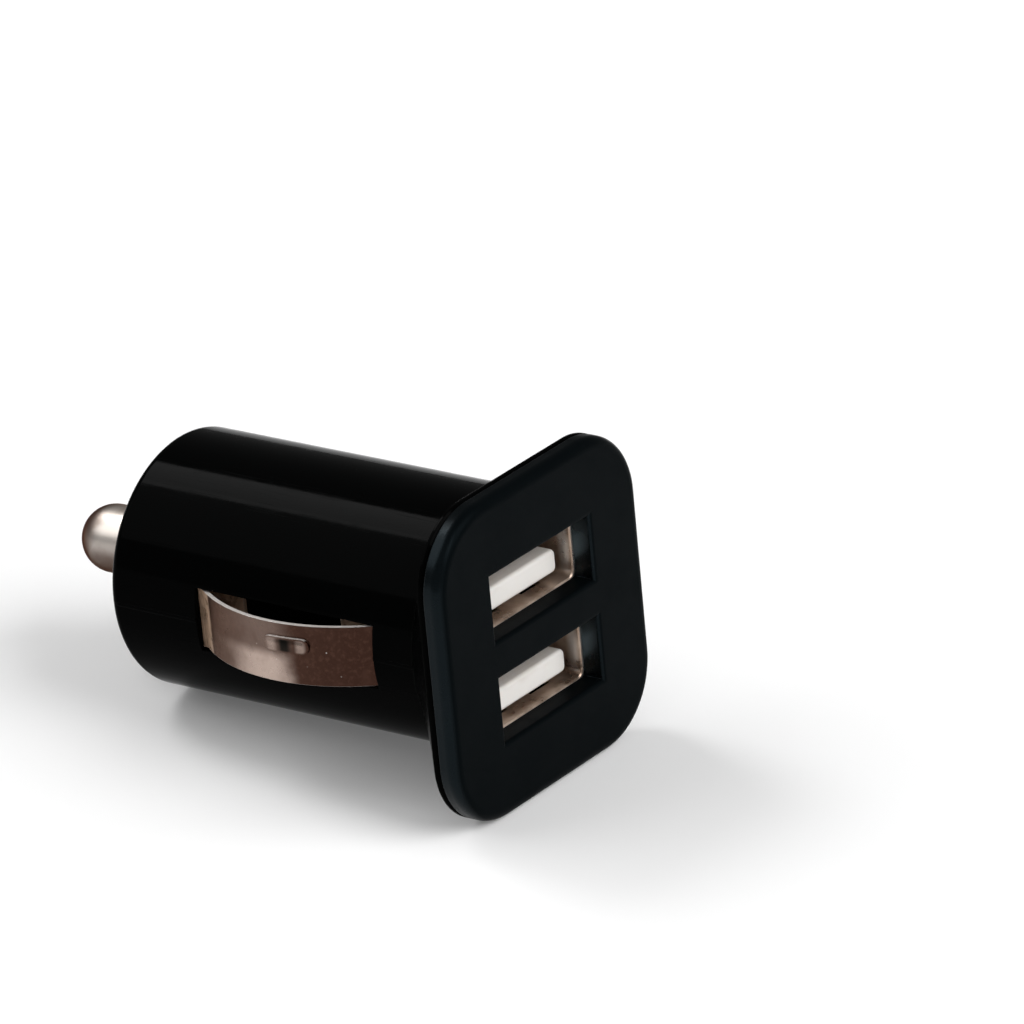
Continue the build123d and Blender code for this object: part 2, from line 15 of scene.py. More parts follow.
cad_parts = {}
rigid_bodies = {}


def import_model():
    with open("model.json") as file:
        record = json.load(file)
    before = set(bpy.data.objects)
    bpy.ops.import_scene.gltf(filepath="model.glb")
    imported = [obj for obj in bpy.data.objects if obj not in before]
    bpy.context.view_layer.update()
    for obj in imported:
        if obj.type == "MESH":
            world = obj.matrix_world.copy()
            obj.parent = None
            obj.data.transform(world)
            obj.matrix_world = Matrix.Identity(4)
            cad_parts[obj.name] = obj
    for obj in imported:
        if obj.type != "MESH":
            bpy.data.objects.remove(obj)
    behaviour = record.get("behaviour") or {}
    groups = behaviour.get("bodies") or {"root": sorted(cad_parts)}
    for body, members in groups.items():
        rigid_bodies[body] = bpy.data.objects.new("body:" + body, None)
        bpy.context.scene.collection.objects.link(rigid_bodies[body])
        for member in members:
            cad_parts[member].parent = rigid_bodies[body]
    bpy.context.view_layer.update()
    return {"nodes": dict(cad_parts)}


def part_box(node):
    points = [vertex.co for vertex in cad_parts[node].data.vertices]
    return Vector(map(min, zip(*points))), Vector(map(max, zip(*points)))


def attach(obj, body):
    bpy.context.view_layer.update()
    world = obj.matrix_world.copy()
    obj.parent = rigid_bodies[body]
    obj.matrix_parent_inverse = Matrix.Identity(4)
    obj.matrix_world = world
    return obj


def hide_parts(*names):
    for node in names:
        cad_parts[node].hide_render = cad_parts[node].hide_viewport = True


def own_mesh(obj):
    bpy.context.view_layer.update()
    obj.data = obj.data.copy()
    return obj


bl_info = {
    "name": "Car charger plug looks",
    "version": (1, 0, 0),
    "blender": (4, 5, 0),
    "location": "View3D > Sidebar > Charger",
    "description": "Dresses the packed charger plug and sets up its studio",
    "category": "Object",
}

MM = 0.001

# The start-up objects go first, so that the scene holds only the plug and its studio.
for leftover in list(bpy.data.objects):
    bpy.data.objects.remove(leftover)
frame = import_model()

# Places that the frame gives: along the plug, from its sockets to its tip, or outwards from its axis.
FACE_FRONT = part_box("face_plate")[0].y
SHIELD_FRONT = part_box("upper_shield")[0].y
TIP_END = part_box("contact_tip")[1].y
CLIP_LOW, CLIP_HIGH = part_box("left_clip")
CLIP_FRONT = CLIP_LOW.y
CLIP_REAR = CLIP_HIGH.y
CLIP_OUTSIDE = -CLIP_LOW.x
CLIP_INSIDE = -CLIP_HIGH.x


def colour(name, description, value):
    return FloatVectorProperty(
        name=name, description=description, subtype="COLOR", size=3, min=0, max=1, default=value
    )


def length(name, description, value):
    return FloatProperty(
        name=name, description=description, unit="LENGTH", subtype="DISTANCE", precision=5, default=value
    )


def angle(name, description, degrees):
    return FloatProperty(name=name, description=description, subtype="ANGLE", default=math.radians(degrees))


def direction(name, description, value):
    return FloatVectorProperty(name=name, description=description, subtype="DIRECTION", default=value)


def strength(name, description, value):
    return FloatProperty(name=name, description=description, min=0, default=value)


class ChargerFinishes(bpy.types.PropertyGroup):
    """Colours of the plug's pieces, among them painted highlights, reflections and shade."""

    barrel: colour("Barrel", "Polished black of the moulded body", (0.0008, 0.0009, 0.0009))
    face: colour("Face", "Satin black of the face plate", (0.0014, 0.0022, 0.0026))
    face_glance: colour("Face glance", "Tint of what the face plate mirrors", (0.62, 0.86, 1.0))
    tarnish: colour("Clip tarnish", "Dull plating on the side clips", (0.056, 0.029, 0.021))
    stained: colour("Clip stain", "Brown plating near a clip's front end", (0.040, 0.019, 0.0135))
    # Rubbed plating and painted highlight: the bright patch on a clip's bow and the bright ends of its dimple
    # stand in for reflections.
    rubbed_and_highlight: colour("Clip rubbed", "Plating polished where a clip rubs in its socket", (0.46, 0.36, 0.31))
    # Dull bare strip and painted reflection: the tucked-in ends are lighter and less metallic, to show the
    # bright reflection they give.
    bare_and_reflection: colour("Clip bare", "Dull strip at a clip's tucked-in ends", (0.48, 0.325, 0.225))
    # Painted shade: the dark middle of a clip's dimple is a painted dark reflection, not dirt.
    dimple_shade: colour("Clip soot", "Dirt in the middle of a clip's dimple", (0.010, 0.009, 0.008))
    # Bare metal of the cut edges, also used for the painted highlight streak in the shields.
    sheared_and_highlight: colour("Sheared edge", "Bare metal on the strip's cut edges", (0.64, 0.60, 0.57))
    clip_glance: colour("Clip glance", "Tint of a clip at a low angle", (0.88, 0.76, 0.70))
    shield: colour("Shield", "Plating of the socket shields", (0.54, 0.425, 0.345))
    shield_dark: colour("Shield shade", "Plating in the shields' stained patches", (0.31, 0.225, 0.17))
    tip: colour("Tip", "Satin plating of the contact tip", (0.60, 0.55, 0.505))
    tip_dark: colour("Tip shade", "Dull patches on the contact tip", (0.45, 0.39, 0.345))
    # Painted shade: the brown at the tip's nose and underneath is a painted dark reflection.
    tip_dark_reflection: colour("Tip tarnish", "Brown plating at the nose and under the tip", (0.085, 0.052, 0.042))
    tip_glance: colour("Tip glance", "Tint of the tip at a low angle", (0.24, 0.17, 0.14))
    tongue: colour("Tongue", "Warm white of the socket tongues", (0.88, 0.855, 0.82))
    tongue_aged: colour("Tongue stain", "Faint stains on the tongues", (0.80, 0.765, 0.71))
    gold: colour("Contact", "Gold flash on the socket contacts", (0.78, 0.55, 0.22))
    brass: colour("Brass", "Brass of the tip's terminal", (0.70, 0.50, 0.22))
    tin: colour("Tin", "Tinned strips, pins and legs", (0.62, 0.62, 0.60))
    steel: colour("Spring steel", "Drawn wire of the tip's spring", (0.50, 0.49, 0.48))
    mask: colour("Board", "Green solder mask", (0.012, 0.115, 0.045))
    mask_track: colour("Board track", "Solder mask over a copper track", (0.028, 0.190, 0.070))
    can: colour("Can", "Drawn aluminium of the capacitors", (0.68, 0.68, 0.69))
    ferrite: colour("Ferrite", "Sintered core of the coil", (0.035, 0.034, 0.036))
    copper: colour("Copper", "Enamelled wire of the coil", (0.66, 0.25, 0.09))
    epoxy: colour("Epoxy", "Moulded packages on the board", (0.018, 0.018, 0.020))


class ChargerSizes(bpy.types.PropertyGroup):
    """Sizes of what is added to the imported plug."""

    edge_radius: length("Edge radius", "Radius that shading gives to the moulded edges", 0.12 * MM)
    rim_width: length("Worn rim", "Width of the bright line along a strip's edges", 0.07 * MM)
    spring_wire: length("Spring wire", "Diameter of the tip spring's wire", 0.5 * MM)
    spring_turns: FloatProperty(name="Spring turns", description="Turns of the spring", default=5.5, min=2)
    coil_wire: length("Coil wire", "Diameter of the coil's enamelled wire", 0.34 * MM)
    coil_layers: IntProperty(name="Coil layers", description="Layers of wire on the coil", default=2, min=1)


class ChargerWear(bpy.types.PropertyGroup):
    """Where polish, stains, wear and painted highlights and shade lie on the pieces."""

    mouth_side: length("Mouth side", "From the axis to just past the mouths' side walls", 8 * MM)
    mouth_inset: length("Mouth inset", "How far inside a mouth's ends its polish fades in", 0.05 * MM)
    clip_tuck: length("Clip tuck", "From the axis to a clip's rear bend", CLIP_OUTSIDE - 2.245 * MM)
    clip_bend: length("Clip bend", "Where a clip's rear bend starts", CLIP_REAR - 2.922 * MM)
    clip_legs: length("Clip legs", "From the axis to just outside a clip's legs", CLIP_INSIDE + 0.613 * MM)
    stain_end: length("Stain end", "Where the brown of a clip's front end gives way", CLIP_FRONT + 6.495 * MM)
    # The bright patch on a clip is rubbed plating and a painted highlight.
    rub_start: length("Rub start", "Where the bright patch on a clip starts", CLIP_FRONT + 9.595 * MM)
    rub_end: length("Rub end", "Where the bright patch on a clip ends", CLIP_REAR - 4.572 * MM)
    dimple: length("Dimple", "Middle of a clip's dimple", CLIP_FRONT + 7.745 * MM)
    dimple_drop: length("Dimple drop", "From a strip's middle line to its dimple", 0.75 * MM)
    dimple_half: length("Dimple half", "Half the straight part of a dimple", 1.4 * MM)
    dimple_radius: length("Dimple radius", "Radius of a dimple's round ends", 0.65 * MM)
    # A dimple's top holds a painted highlight at each end and painted shade in its middle.
    dimple_pad: length("Dimple pad", "Radius of a dimple's worn top", 0.51 * MM)
    dimple_rim: length("Dimple rim", "From a dimple's middle line to the strip's bright edges", 0.925 * MM)
    dimple_ends: length("Dimple ends", "From a dimple's middle to its bright ends", 1.3 * MM)
    dimple_shift: length("Dimple shift", "How far soot and bright ends lie off a dimple's middle", 0.05 * MM)
    # Painted highlight: a bright streak on a shield's side walls.
    highlight_streak: length("Shield streak", "Middle of the bright streak in a shield", SHIELD_FRONT + 0.75 * MM)
    # Painted shade: where the tip's dark reflection is painted underneath it and at its nose.
    tip_shade: length("Tip shade", "Height where the tarnish under the tip starts", 0.4 * MM)
    tip_nose: length("Tip nose", "Where the tarnish of the nose starts", TIP_END - 2.6 * MM)


class ChargerStage(bpy.types.PropertyGroup):
    """Camera, lamps and floor."""

    azimuth: angle("Camera azimuth", "Camera's angle round the plug, from the sockets", -51.850)
    elevation: angle("Camera elevation", "Camera's angle above the plug", 22.695)
    roll: angle("Camera roll", "Camera's turn about its own line of sight", -5.454)
    distance: length("Camera distance", "From the camera to the point it looks at", 0.625)
    target: FloatVectorProperty(
        name="Camera target", description="Point that the camera looks at", subtype="XYZ", unit="LENGTH",
        default=(6.423 * MM, 5.729 * MM, 6.016 * MM),
    )
    lens: FloatProperty(name="Lens", description="Focal length", unit="CAMERA", default=281.62)
    floor: colour("Floor", "Pale floor", (0.86, 0.86, 0.86))
    floor_width: length("Floor width", "Side of the floor", 12.0)
    floor_glow: strength("Floor glow", "Light that the camera sees in the floor", 0.10)
    key_from: direction("Key direction", "Direction of the key lamp", (0.15, -0.80, 0.58))
    key_spread: angle("Key spread", "Width of the key lamp seen from the plug", 46)
    key_strength: strength("Key strength", "Strength of the key lamp", 2.2)
    rim_from: direction("Rim direction", "Direction of the rim lamp", (0.075, 0.60, 0.795))
    rim_spread: angle("Rim spread", "Width of the rim lamp seen from the plug", 20)
    rim_strength: strength("Rim strength", "Strength of the rim lamp", 0.85)
    back_from: direction("Back direction", "Direction of the back lamp", (-0.43, 0.57, 0.70))
    back_spread: angle("Back spread", "Width of the back lamp seen from the plug", 46)
    back_strength: strength("Back strength", "Strength of the back lamp", 0.9)
    sky: strength("Sky", "Strength of the even light all round", 0.29)


GROUPS = {
    "charger_finishes": ChargerFinishes,
    "charger_sizes": ChargerSizes,
    "charger_wear": ChargerWear,
    "charger_stage": ChargerStage,
}


def shade(tint, factor):
    """The same colour, darker or lighter."""
    return tuple(min(1.0, factor * part) for part in tint)


class Finish:
    """A procedural material while its nodes are being joined up, in the plug's own coordinates."""

    LINE_STRETCH = 0.02
    LINE_LEVEL = 0.66
    CLOUD_DARK = 0.3
    CLOUD_LIGHT = 0.7
    SPECK_CORE = 0.6
    NEAR_CORE = 0.25

    def __init__(self, name, base, metallic=0.0, roughness=0.4, specular=0.5):
        self.material = bpy.data.materials.new(name)
        self.material.use_nodes = True
        self.tree = self.material.node_tree
        self.shader = self.tree.nodes["Principled BSDF"]
        self.place = self.tree.nodes.new("ShaderNodeTexCoord").outputs["Object"]
        self.set(Base_Color=(*base, 1), Metallic=metallic, Roughness=roughness, Specular_IOR_Level=specular)

    def set(self, **values):
        """Sets the shader's own sockets, whose names have _ for each space."""
        for name, value in values.items():
            self.shader.inputs[name.replace("_", " ")].default_value = value

    def join(self, output, name):
        self.tree.links.new(output, self.shader.inputs[name])

    def node(self, kind, *inputs, **settings):
        """Adds a node. Each input in turn is a value, another node's output, or None to leave it alone."""
        made = self.tree.nodes.new(kind)
        for key, value in settings.items():
            setattr(made, key, value)
        for socket, value in zip(made.inputs, inputs):
            if isinstance(value, bpy.types.NodeSocket):
                self.tree.links.new(value, socket)
            elif value is not None:
                socket.default_value = value
        return made

    def maths(self, how, *values, clamp=False):
        return self.node("ShaderNodeMath", *values, operation=how, use_clamp=clamp).outputs[0]

    def times(self, first, second):
        """The product of two shares of a surface, kept between 0 and 1."""
        return self.maths("MULTIPLY", first, second, clamp=True)

    def plus(self, first, second):
        """The sum of two shares of a surface, kept between 0 and 1."""
        return self.maths("ADD", first, second, clamp=True)

    def most(self, first, second):
        """The larger of two shares of a surface, kept between 0 and 1."""
        return self.maths("MAXIMUM", first, second, clamp=True)

    def coordinate(self, axis, place=None):
        return self.node("ShaderNodeSeparateXYZ", place or self.place).outputs[axis]

    def stretched(self, x, y, z):
        return self.node("ShaderNodeMapping", self.place, None, None, (x, y, z)).outputs[0]

    def cloud(self, grain, detail=3.0, place=None):
        """Soft noise from 0 to 1 whose patches are about one grain wide."""
        made = self.node("ShaderNodeTexNoise", place or self.place)
        made.inputs["Scale"].default_value = 1 / grain
        made.inputs["Detail"].default_value = detail
        return made.outputs["Fac"]

    def specks(self, spacing, size):
        """1 inside small round specks, 0 elsewhere."""
        made = self.node("ShaderNodeTexVoronoi", self.place)
        made.inputs["Scale"].default_value = 1 / spacing
        return self.ramp(made.outputs["Distance"], self.SPECK_CORE * size / spacing, size / spacing, 1, 0)

    def scratches(self, across, share=0.06):
        """1 on fine lines that run along the plug, 0 elsewhere."""
        lines = self.cloud(across, detail=1.0, place=self.stretched(1, self.LINE_STRETCH, 1))
        return self.ramp(lines, self.LINE_LEVEL - share, self.LINE_LEVEL)

    def ramp(self, value, low, high, at_low=0.0, at_high=1.0):
        """Goes smoothly from at_low to at_high as the value goes from low to high."""
        smooth = {"interpolation_type": "SMOOTHSTEP"}
        return self.node("ShaderNodeMapRange", value, low, high, at_low, at_high, **smooth).outputs[0]

    def above(self, value, edge, fade, amount=1.0):
        """0 below an edge and the amount above it, changing over the fade."""
        return self.ramp(value, edge - fade / 2, edge + fade / 2, 0, amount)

    def below(self, value, edge, fade, amount=1.0):
        """The amount below an edge and 0 above it, changing over the fade."""
        return self.ramp(value, edge - fade / 2, edge + fade / 2, amount, 0)

    def between(self, cloud, first, last):
        """Goes from first to last as a cloud goes from its dark patches to its light ones."""
        return self.ramp(cloud, self.CLOUD_DARK, self.CLOUD_LIGHT, first, last)

    def near(self, axis, middle, reach):
        """1 at a place along one axis, falling to 0 at the reach."""
        away = self.maths("ABSOLUTE", self.maths("SUBTRACT", self.coordinate(axis), middle))
        return self.ramp(away, self.NEAR_CORE * reach, reach, 1, 0)

    def facing(self, axis, low=0.75, high=0.95):
        """1 where the surface faces along an axis, either way, and 0 where it is side-on."""
        normal = self.tree.nodes.new("ShaderNodeNewGeometry").outputs["Normal"]
        return self.ramp(self.maths("ABSOLUTE", self.coordinate(axis, normal)), low, high)

    def blend(self, factor, first, second):
        """Goes from the first colour to the second as the factor goes from 0 to 1."""
        made = self.node("ShaderNodeMix", data_type="RGBA")
        self.tree.links.new(factor, made.inputs["Factor"])
        # The node has sockets for each kind of data: inputs 6 and 7 and output 2 are the colours.
        for socket, value in ((made.inputs[6], first), (made.inputs[7], second)):
            if isinstance(value, bpy.types.NodeSocket):
                self.tree.links.new(value, socket)
            else:
                socket.default_value = (*value, 1)
        return made.outputs[2]

    def rounded(self, radius):
        return self.node("ShaderNodeBevel", radius, samples=6).outputs[0]

    def edges(self, radius, sharp=0.80, flat=0.98):
        """1 along sharp edges, 0 on open surfaces."""
        normal = self.tree.nodes.new("ShaderNodeNewGeometry").outputs["Normal"]
        alike = self.node("ShaderNodeVectorMath", normal, self.rounded(radius), operation="DOT_PRODUCT")
        return self.ramp(alike.outputs["Value"], sharp, flat, 1, 0)

    def relief(self, height, depth, radius=0.0):
        """Raises the surface by the depth where the height is 1, over edges rounded by the radius."""
        bump = self.tree.nodes.new("ShaderNodeBump")
        bump.inputs["Strength"].default_value = 1.0
        bump.inputs["Distance"].default_value = depth
        self.tree.links.new(height, bump.inputs["Height"])
        if radius:
            self.tree.links.new(self.rounded(radius), bump.inputs["Normal"])
        self.join(bump.outputs[0], "Normal")


def barrel_finish(looks, sizes):
    made = Finish("barrel_gloss", looks.barrel, roughness=0.1, specular=0.008)
    haze = made.cloud(grain=2.2 * MM)
    hairlines = made.scratches(across=0.09 * MM, share=0.03)
    made.join(made.ramp(made.plus(haze, hairlines), 0.3, 1.2, 0.07, 0.20), "Roughness")
    made.relief(made.cloud(grain=0.9 * MM, detail=2.0), depth=0.002 * MM, radius=sizes.edge_radius)
    return made.material


def face_finish(looks, sizes, wear):
    """The plate's front is grained. Its sides, and the side walls of its two mouths, are polished."""
    front_gloss = 0.018
    side_gloss = 0.12
    mouth_gloss = 0.6
    smoother = 0.16
    made = Finish("face_satin", looks.face, roughness=0.42, specular=front_gloss)
    made.set(Specular_Tint=(*looks.face_glance, 1))
    polished = made.facing("X", 0.25, 0.75)
    inside = made.below(made.maths("ABSOLUTE", made.coordinate("X")), wear.mouth_side, fade=2 * MM)
    # A mouth's walls grow glossier from the plate's front to the shield behind it.
    starts = FACE_FRONT + wear.mouth_inset
    ends = SHIELD_FRONT - wear.mouth_inset
    deep = made.times(inside, made.ramp(made.coordinate("Y"), starts, ends))
    gloss = made.plus(made.times(deep, mouth_gloss), side_gloss)
    made.join(made.most(made.times(polished, gloss), front_gloss), "Specular IOR Level")
    satin = made.between(made.cloud(grain=3.0 * MM), 0.36, 0.48)
    made.join(made.maths("SUBTRACT", satin, made.times(polished, smoother), clamp=True), "Roughness")
    uneven = made.cloud(grain=1.4 * MM, detail=4.0)
    made.join(made.blend(uneven, looks.face, shade(looks.face, 1.18)), "Base Color")
    made.relief(made.cloud(grain=0.10 * MM, detail=2.0), depth=0.006 * MM, radius=sizes.edge_radius)
    return made.material


def clip_tucked(made, wear):
    """1 on a clip's legs and on its rear bend, which lie in the window where nothing rubs them, and which are
    made lighter and less metallic as a painted reflection.
    """
    depth = made.maths("ABSOLUTE", made.coordinate("X"))
    behind = made.above(made.coordinate("Y"), wear.clip_bend, fade=0.3 * MM)
    bend = made.times(made.below(depth, wear.clip_tuck, fade=0.25 * MM), behind)
    return made.most(bend, made.below(depth, wear.clip_legs, fade=0.2 * MM))


def clip_rubbed(made, wear, mottle):
    """1 where the bow rubs in its socket, with ragged ends, and stronger along one edge of the strip: rubbed
    plating with a painted highlight.
    """
    wander = 3.2 * MM
    ragged = made.maths("MULTIPLY_ADD", made.cloud(grain=3.0 * MM), wander, made.coordinate("Y"))
    starts = made.above(ragged, wear.rub_start, fade=2.4 * MM)
    patch = made.times(starts, made.below(ragged, wear.rub_end, fade=5.6 * MM))
    # The clips are one part, turned half round: across times up has the same sign at like places on both.
    square_mm = MM * MM
    turned = made.maths("MULTIPLY", made.coordinate("X"), made.coordinate("Z"))
    slanted = made.maths("MULTIPLY_ADD", mottle, 10 * square_mm, turned)
    return made.times(patch, made.ramp(slanted, 2 * square_mm, 15 * square_mm, 0.22, 1))


def dimple_distance(made, wear):
    """How far a point of a clip is from the straight middle line of its pressed dimple."""
    side = made.maths("SIGN", made.coordinate("X"))
    level = made.maths("MULTIPLY_ADD", side, wear.dimple_drop, made.coordinate("Z"))
    along = made.maths("ABSOLUTE", made.maths("SUBTRACT", made.coordinate("Y"), wear.dimple))
    past = made.maths("MAXIMUM", made.maths("SUBTRACT", along, wear.dimple_half), 0.0)
    away = made.node("ShaderNodeCombineXYZ", past, level).outputs[0]
    return made.node("ShaderNodeVectorMath", away, operation="LENGTH").outputs["Value"]


def clip_plating(made, looks, wear, mottle):
    """Colour of a clip's plating: brown at the front, tarnished behind, and bright where it rubs, which is
    partly a painted highlight.
    """
    dull = shade(looks.tarnish, 1.6)
    clear = made.above(made.coordinate("Y"), wear.stain_end, fade=10 * MM)
    plating = made.blend(clear, looks.stained, looks.tarnish)
    flecks = made.ramp(made.cloud(grain=0.35 * MM, detail=4.0), 0.45, 0.75)
    plating = made.blend(made.times(flecks, 0.45), plating, dull)
    # Rubbed plating with a painted highlight.
    plating = made.blend(clip_rubbed(made, wear, mottle), plating, looks.rubbed_and_highlight)
    return made.blend(made.times(made.ramp(mottle, 0.5, 0.8), 0.4), plating, dull)


def dimple_highlight_and_shade(made, looks, wear, away, plating):
    """Colour of a clip with painted highlights at both ends of its dimple's top and painted shade in its
    middle.
    """
    pad = made.below(away, wear.dimple_pad, fade=0.22 * MM)
    # The painted highlights lie either side of this point, and the painted shade lies near the dimple's
    # middle.
    worn = wear.dimple - wear.dimple_shift
    rear, front = (made.near("Y", worn + way * wear.dimple_ends, reach=0.6 * MM) for way in (1, -1))
    plating = made.blend(made.times(made.times(pad, made.most(rear, front)), 0.5), plating, looks.rubbed_and_highlight)
    middle = made.near("Y", wear.dimple + wear.dimple_shift, reach=0.75 * MM)
    return made.blend(made.times(pad, middle), plating, looks.dimple_shade)


def clip_finish(looks, sizes, wear):
    made = Finish("clip_plating", looks.tarnish, metallic=1.0, roughness=0.3)
    made.set(Specular_Tint=(*looks.clip_glance, 1))
    mottle = made.cloud(grain=1.6 * MM, detail=4.0)
    tucked = clip_tucked(made, wear)
    away = dimple_distance(made, wear)
    strip = made.blend(made.ramp(mottle, 0.35, 0.6), shade(looks.bare_and_reflection, 0.55), looks.bare_and_reflection)
    # The tucked-in ends get the lighter strip colour, which is a dull strip and a painted reflection.
    plating = made.blend(tucked, clip_plating(made, looks, wear, mottle), strip)
    plating = dimple_highlight_and_shade(made, looks, wear, away, plating)
    pitted = made.ramp(made.cloud(grain=3.0 * MM), 0.40, 0.52)
    marks = made.times(made.times(made.specks(spacing=1.0 * MM, size=0.07 * MM), pitted), 0.6)
    # The strip's cut edges are bright, and the rim of the dimple, which is pressed and not cut, is not.
    beside = made.above(away, wear.dimple_rim, fade=0.15 * MM, amount=0.7)
    cut = made.most(made.facing("Z"), made.times(made.edges(sizes.rim_width), beside))
    made.join(made.blend(made.most(marks, cut), plating, looks.sheared_and_highlight), "Base Color")
    # Less metal on the tucked-in ends and the cut edges lets their lighter colour show: a painted reflection
    # on the ends, bare metal on the edges.
    made.join(made.ramp(made.most(tucked, cut), 0, 1, 1, 0.25), "Metallic")
    made.join(made.between(mottle, 0.24, 0.36), "Roughness")
    dome_share = 0.9
    grain_share = 0.03
    dome = made.times(made.ramp(away, 0, wear.dimple_radius, 1, 0), dome_share)
    grain = made.times(made.plus(made.cloud(grain=0.35 * MM), marks), grain_share)
    made.relief(made.plus(dome, grain), depth=0.14 * MM, radius=sizes.rim_width)
    return made.material


def shield_finish(looks, sizes, wear):
    made = Finish("shield_plating", looks.shield, metallic=0.85, roughness=0.3)
    stains = made.cloud(grain=2.4 * MM, detail=4.0)
    plating = made.blend(made.ramp(stains, 0.35, 0.65), looks.shield_dark, looks.shield)
    # Painted highlight: a bright streak on the side walls near the shield's front, besides its bright cut
    # front edges.
    highlight_streak = made.times(made.facing("X"), made.near("Y", wear.highlight_streak, reach=0.7 * MM))
    bright = made.most(made.facing("Y"), highlight_streak)
    bright = made.times(made.most(bright, made.specks(spacing=1.2 * MM, size=0.05 * MM)), 0.7)
    made.join(made.blend(bright, plating, looks.sheared_and_highlight), "Base Color")
    made.join(made.between(stains, 0.26, 0.40), "Roughness")
    made.relief(made.cloud(grain=0.3 * MM), depth=0.004 * MM, radius=sizes.rim_width)
    return made.material


def tip_finish(looks, sizes, wear):
    """The tip is darkened at its nose and underneath as a painted dark reflection, and has the fine grooves
    of its turning.
    """
    made = Finish("tip_plating", looks.tip, metallic=1.0, roughness=0.27)
    made.set(Specular_Tint=(*looks.tip_glance, 1))
    mottle = made.cloud(grain=2.4 * MM, detail=4.0)
    plating = made.blend(made.ramp(mottle, 0.42, 0.66), looks.tip, looks.tip_dark)
    # Painted shade under the tip and at its nose.
    under = made.below(made.coordinate("Z"), wear.tip_shade, fade=2 * MM, amount=0.74)
    nose = made.above(made.coordinate("Y"), wear.tip_nose, fade=1.8 * MM, amount=0.85)
    made.join(made.blend(made.most(under, nose), plating, looks.tip_dark_reflection), "Base Color")
    made.join(made.between(mottle, 0.33, 0.42), "Roughness")
    band_at_scale_one = 0.3
    groove = 0.12 * MM
    turning = made.node("ShaderNodeTexWave", made.place, bands_direction="Y")
    turning.inputs["Scale"].default_value = band_at_scale_one / groove
    turning.inputs["Distortion"].default_value = 1.5
    made.relief(turning.outputs["Fac"], depth=0.0012 * MM, radius=sizes.rim_width)
    return made.material


def tongue_finish(looks, sizes):
    made = Finish("tongue_white", looks.tongue, roughness=0.45, specular=0.35)
    stain = made.cloud(grain=2.0 * MM, detail=4.0, place=made.stretched(0.4, 1, 1))
    made.join(made.blend(made.ramp(stain, 0.52, 0.72), looks.tongue, looks.tongue_aged), "Base Color")
    made.join(made.between(stain, 0.38, 0.52), "Roughness")
    made.set(Subsurface_Weight=0.15, Subsurface_Radius=(0.4 * MM, 0.35 * MM, 0.3 * MM), Subsurface_Scale=1.0)
    made.relief(made.cloud(grain=0.25 * MM), depth=0.003 * MM, radius=sizes.edge_radius)
    return made.material


def strip_finish(name, tint, sizes, grain=0.5 * MM):
    """A small stamped or drawn metal piece: finely scratched, darker in its stains, bright at its edges."""
    made = Finish(name, tint, metallic=1.0, roughness=0.3)
    stain = made.cloud(grain, detail=4.0)
    worn = made.blend(made.ramp(stain, 0.35, 0.65), shade(tint, 0.6), tint)
    made.join(made.blend(made.edges(sizes.rim_width), worn, shade(tint, 1.25)), "Base Color")
    made.join(made.between(stain, 0.22, 0.40), "Roughness")
    made.relief(made.scratches(across=0.06 * MM), depth=0.001 * MM)
    return made.material


def board_finish(looks):
    made = Finish("board_mask", looks.mask, roughness=0.3, specular=0.5)
    spacing = 2.6 * MM
    tracks = made.node("ShaderNodeTexBrick", made.place, offset=0.5)
    tracks.inputs["Scale"].default_value = 1 / spacing
    tracks.inputs["Mortar Size"].default_value = 0.06
    line = made.ramp(tracks.outputs["Fac"], 0.4, 0.6)
    made.join(made.blend(line, looks.mask, looks.mask_track), "Base Color")
    made.join(made.between(made.cloud(grain=1.0 * MM), 0.24, 0.38), "Roughness")
    made.relief(line, depth=0.02 * MM)
    return made.material


def ferrite_finish(looks):
    made = Finish("coil_ferrite", looks.ferrite, roughness=0.6, specular=0.4)
    grain = made.cloud(grain=0.12 * MM, detail=4.0)
    made.join(made.blend(made.ramp(grain, 0.5, 0.75), looks.ferrite, shade(looks.ferrite, 1.6)), "Base Color")
    made.join(made.between(grain, 0.5, 0.7), "Roughness")
    made.relief(grain, depth=0.02 * MM)
    return made.material


def epoxy_finish(looks):
    made = Finish("package_epoxy", looks.epoxy, roughness=0.55, specular=0.4)
    grain = made.cloud(grain=0.09 * MM)
    made.join(made.blend(made.ramp(grain, 0.45, 0.7), looks.epoxy, shade(looks.epoxy, 1.5)), "Base Color")
    made.join(made.between(grain, 0.46, 0.62), "Roughness")
    made.relief(grain, depth=0.01 * MM)
    return made.material


def floor_finish(look):
    """Pale and dull, with a little glow where it is seen or mirrored, which lights nothing else."""
    made = Finish("floor_pale", look.floor, roughness=0.9, specular=0.0)
    made.join(made.between(made.cloud(grain=0.5, detail=2.0), 0.85, 0.95), "Roughness")
    rays = made.tree.nodes.new("ShaderNodeLightPath").outputs
    seen = made.most(rays["Is Camera Ray"], rays["Is Glossy Ray"])
    seen = made.most(seen, rays["Is Transmission Ray"])
    made.set(Emission_Color=(1, 1, 1, 1))
    made.join(made.ramp(seen, 0, 1, 0, look.floor_glow), "Emission Strength")
    return made.material


def dress(material, *nodes):
    for name in nodes:
        mesh = frame["nodes"][name].data
        mesh.materials.clear()
        mesh.materials.append(material)


def node_room(name):
    """The middle and the size of a node's box."""
    low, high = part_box(name)
    return (low + high) / 2, high - low


